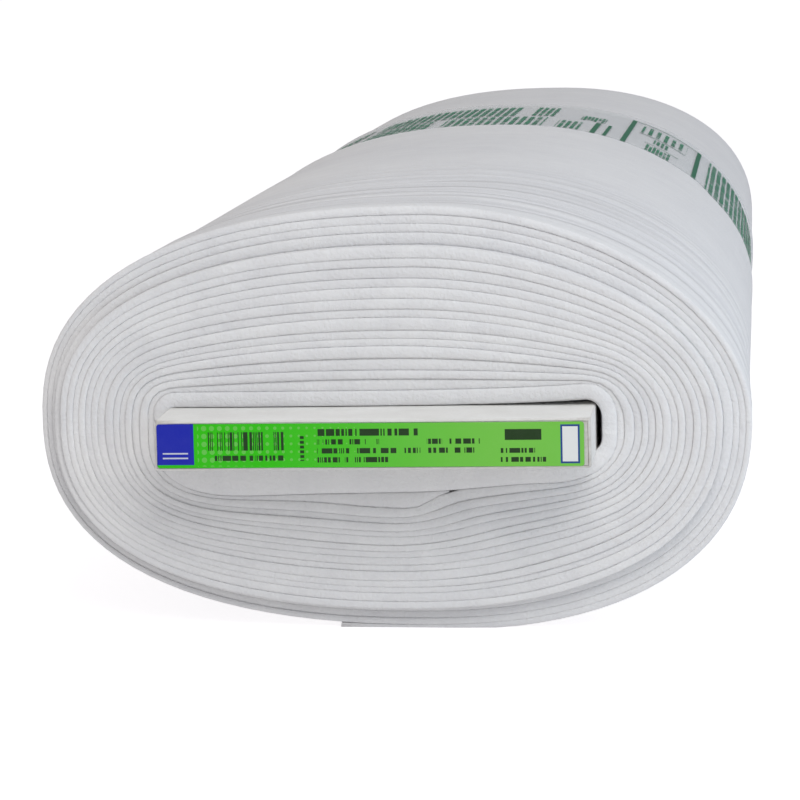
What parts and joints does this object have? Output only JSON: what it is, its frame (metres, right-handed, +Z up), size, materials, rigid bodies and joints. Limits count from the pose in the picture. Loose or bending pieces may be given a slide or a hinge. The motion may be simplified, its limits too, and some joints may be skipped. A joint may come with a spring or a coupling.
{
  "type": "roll of fusible fleece on a bolt board",
  "caption": "Long flat-oval roll of soft white fusible fleece wound round a cardboard bolt board, with a printed film round it and a label on the board's end.",
  "frame": {"origin": "middle of the bottom of the whole piece, on the floor", "axes": "+Y along the roll, away from the labelled end; +X across its width; +Z up from the broad side that it lies on"},
  "size_m": [0.3387, 1.233, 0.2039],
  "materials": {
    "fleece": "soft, fuzzy, matt white fleece",
    "white_cardboard": "smooth white-faced cardboard",
    "green_paper": "green printed paper label, satin",
    "printed_film": "thin clear film with dense green print"
  },
  "bodies": {
    "root": {"fleece_roll": "fleece", "bolt_board": "white_cardboard", "end_label": "green_paper", "printed_band": "printed_film"}
  },
  "joints": []
}
